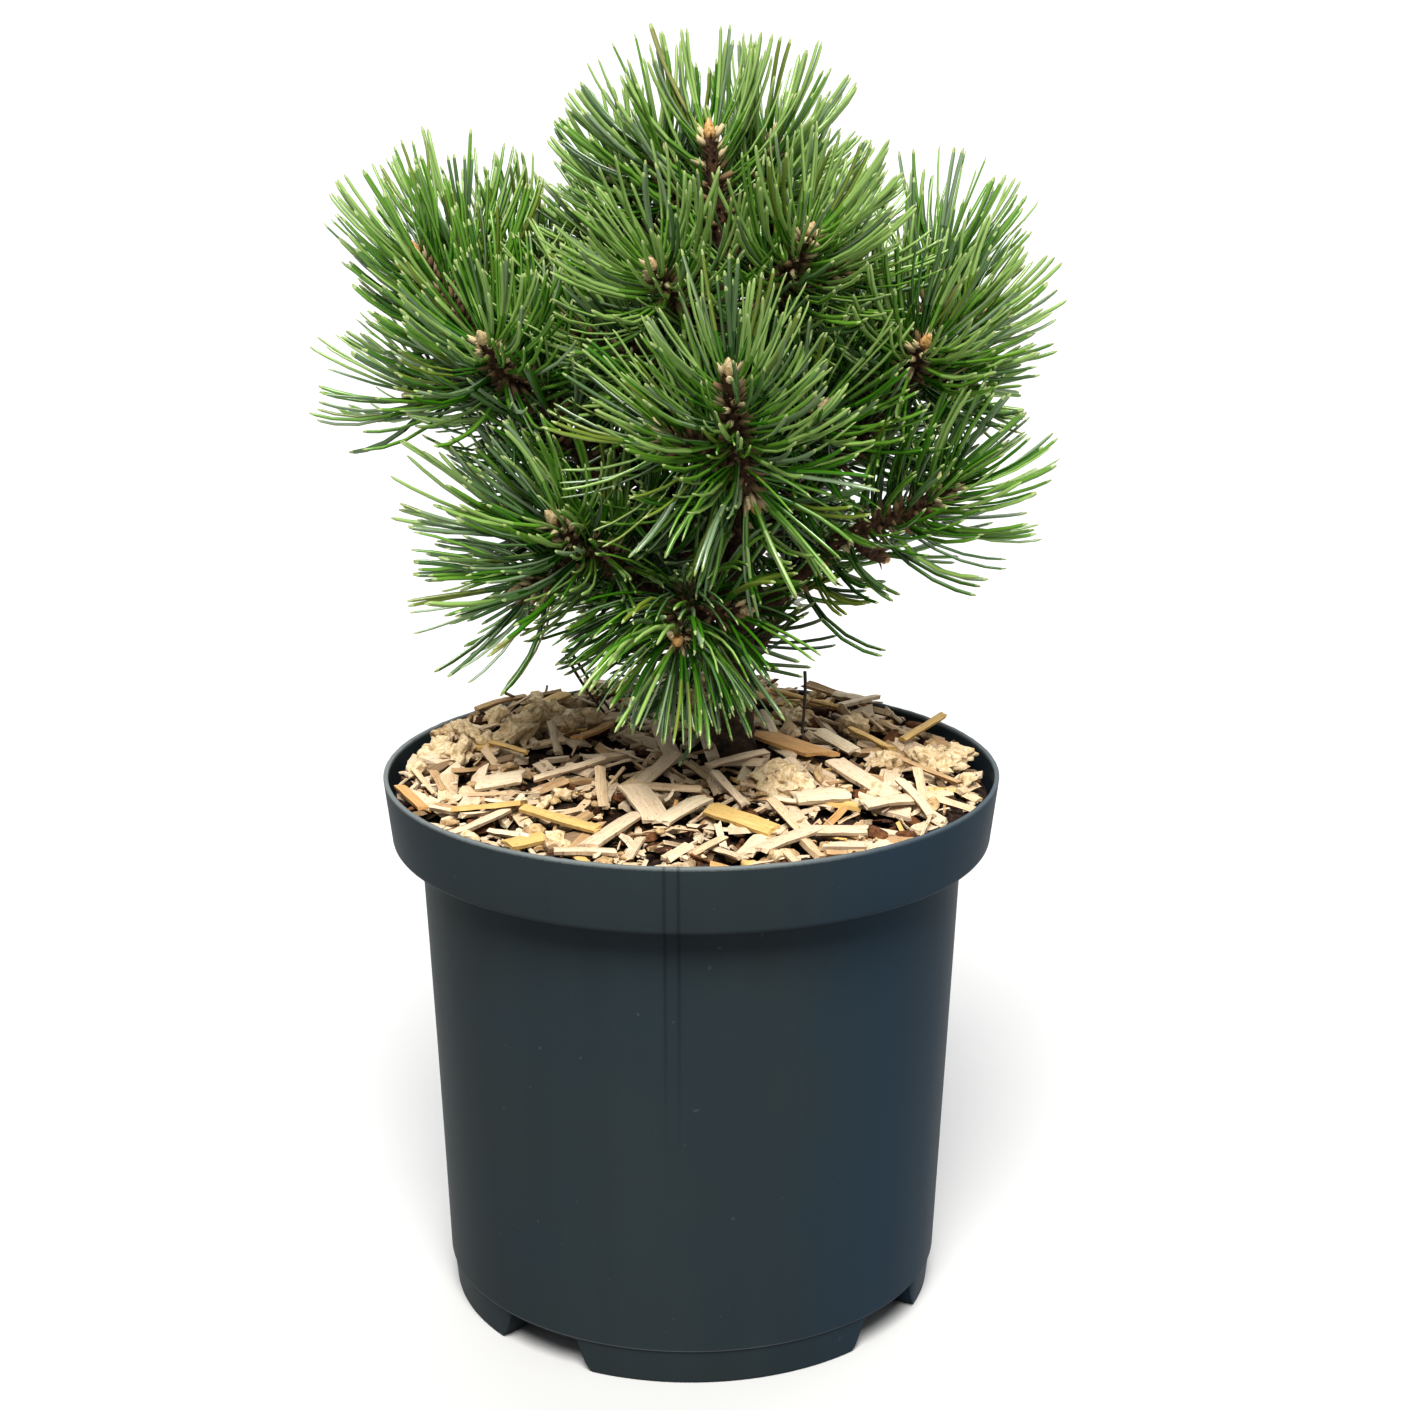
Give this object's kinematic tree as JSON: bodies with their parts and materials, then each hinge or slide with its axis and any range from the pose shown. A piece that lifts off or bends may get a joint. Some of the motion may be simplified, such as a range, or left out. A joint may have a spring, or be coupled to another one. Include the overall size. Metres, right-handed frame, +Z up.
{
  "type": "potted mugo pine",
  "caption": "Young mugo pine with upright shoots and spreading tufts of long paired needles, in a round tapered nursery pot topped with reed chips.",
  "frame": {"origin": "middle of the pot's foot, on the floor it stands on", "axes": "+Z up along the pot's axis; the front of the plant, as pictured, faces -Y; +X to the right seen from the front"},
  "size_m": [0.2806, 0.2464, 0.4771],
  "materials": {
    "pot_plastic": "satin dark blue-grey moulded plastic",
    "soil": "dark crumbly soil",
    "reed_chips": "dry chopped reed chips, cream to golden",
    "bark": "rough scaly bark",
    "needles": "green needles with paler tips"
  },
  "bodies": {
    "root": {"pot": "pot_plastic", "soil": "soil", "mulch": "reed_chips", "trunk": "bark", "low_front_bough": "bark", "low_left_bough": "bark", "low_right_bough": "bark", "low_right_back_bough": "bark", "low_back_bough": "bark", "low_left_back_bough": "bark", "mid_left_bough": "bark", "mid_left_back_bough": "bark", "mid_right_bough": "bark", "mid_right_back_bough": "bark", "mid_front_bough": "bark", "mid_front_right_bough": "bark", "mid_back_bough": "bark", "top_left_bough": "bark", "top_front_bough": "bark", "top_back_left_bough": "bark", "top_right_bough": "bark", "top_back_right_bough": "bark", "top_back_bough": "bark", "low_front_needles": "needles", "low_left_needles": "needles", "low_right_needles": "needles", "low_right_back_needles": "needles", "low_back_needles": "needles", "low_left_back_needles": "needles", "mid_left_needles": "needles", "mid_left_back_needles": "needles", "mid_right_needles": "needles", "mid_right_back_needles": "needles", "mid_front_needles": "needles", "mid_front_right_needles": "needles", "mid_back_needles": "needles", "top_left_needles": "needles", "top_front_needles": "needles", "top_back_left_needles": "needles", "top_right_needles": "needles", "top_back_right_needles": "needles", "top_back_needles": "needles", "leader_needles": "needles"}
  },
  "joints": []
}
